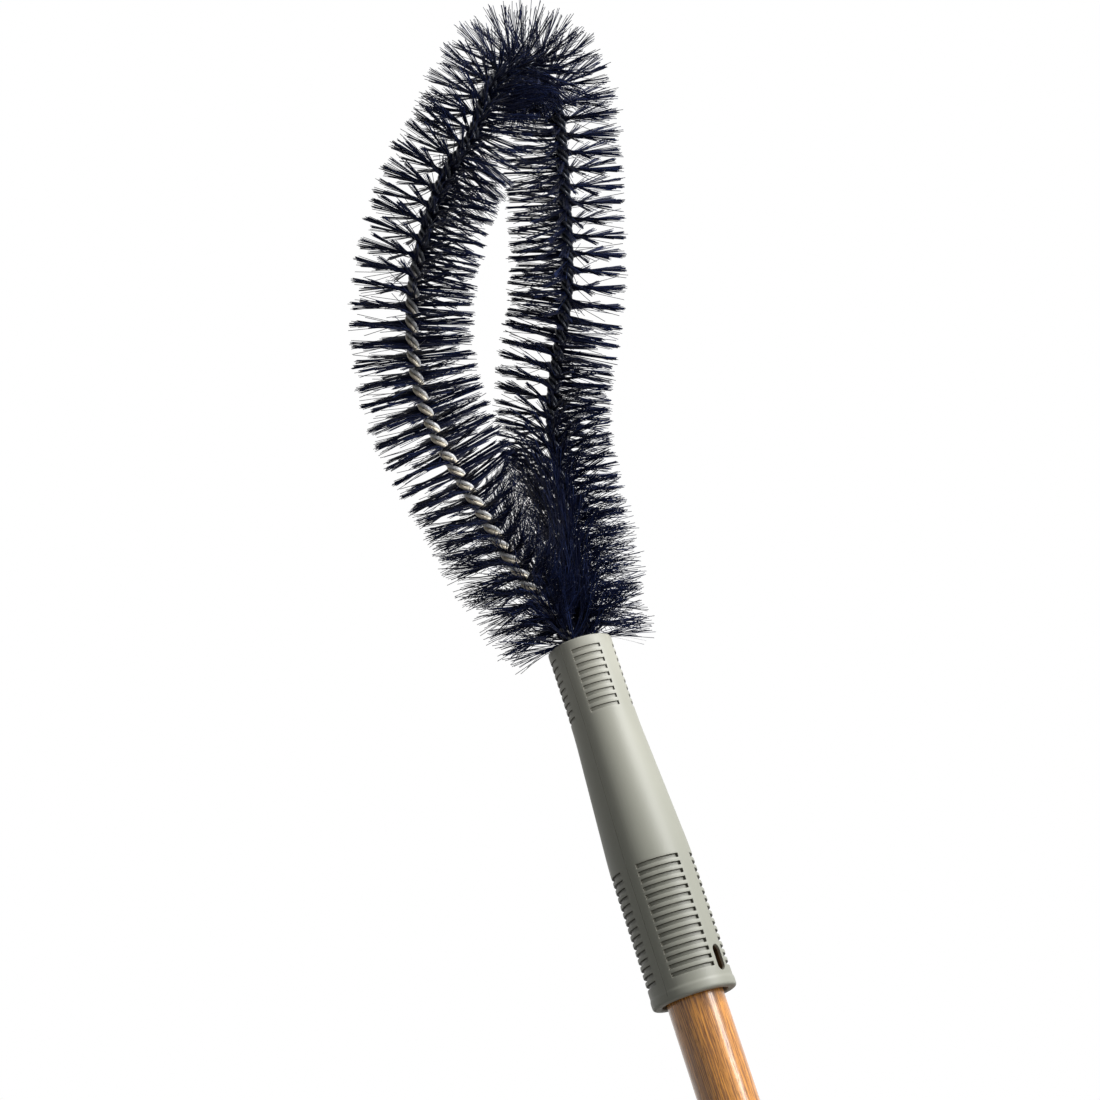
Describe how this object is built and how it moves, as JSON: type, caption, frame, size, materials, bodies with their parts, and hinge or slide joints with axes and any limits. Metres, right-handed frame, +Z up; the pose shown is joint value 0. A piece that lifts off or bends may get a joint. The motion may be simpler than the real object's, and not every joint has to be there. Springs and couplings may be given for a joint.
{
  "type": "duct brush",
  "caption": "Long-handled duct brush: a bent loop of twisted wire and bristle, set in a ribbed tapered socket that pushes onto a round wooden pole.",
  "frame": {"origin": "centre of the pole's butt face", "axes": "+Z up the pole towards the brush, +X across the loop's width, -Y the side to which the loop hooks over and where the socket's slot is"},
  "size_m": [0.1343, 0.1437, 1.2341],
  "materials": {
    "pole_wood": "clear varnish over straight-grained softwood, glossy",
    "socket_plastic": "moulded, satin warm grey",
    "plug_plastic": "moulded, dull black",
    "sleeve_steel": "zinc-plated",
    "core_wire": "galvanised drawn wire",
    "bristle_filament": "extruded filament, navy that reads near-black, slight sheen"
  },
  "bodies": {
    "handle": {"pole": "pole_wood"},
    "head": {"socket": "socket_plastic", "stem_plug": "plug_plastic", "stem_sleeve": "sleeve_steel", "wire_1": "core_wire", "wire_2": "core_wire", "wire_3": "core_wire", "wire_4": "core_wire", "bristles_01": "bristle_filament", "bristles_02": "bristle_filament", "bristles_03": "bristle_filament", "bristles_04": "bristle_filament", "bristles_05": "bristle_filament", "bristles_06": "bristle_filament", "bristles_07": "bristle_filament", "bristles_08": "bristle_filament", "bristles_09": "bristle_filament", "bristles_10": "bristle_filament", "bristles_11": "bristle_filament", "bristles_12": "bristle_filament"}
  },
  "joints": [
    {"name": "head_pull_off", "type": "slide", "parent": "handle", "child": "head", "axis": [0, 0, 1], "range_m": [0, 0.1]}
  ]
}
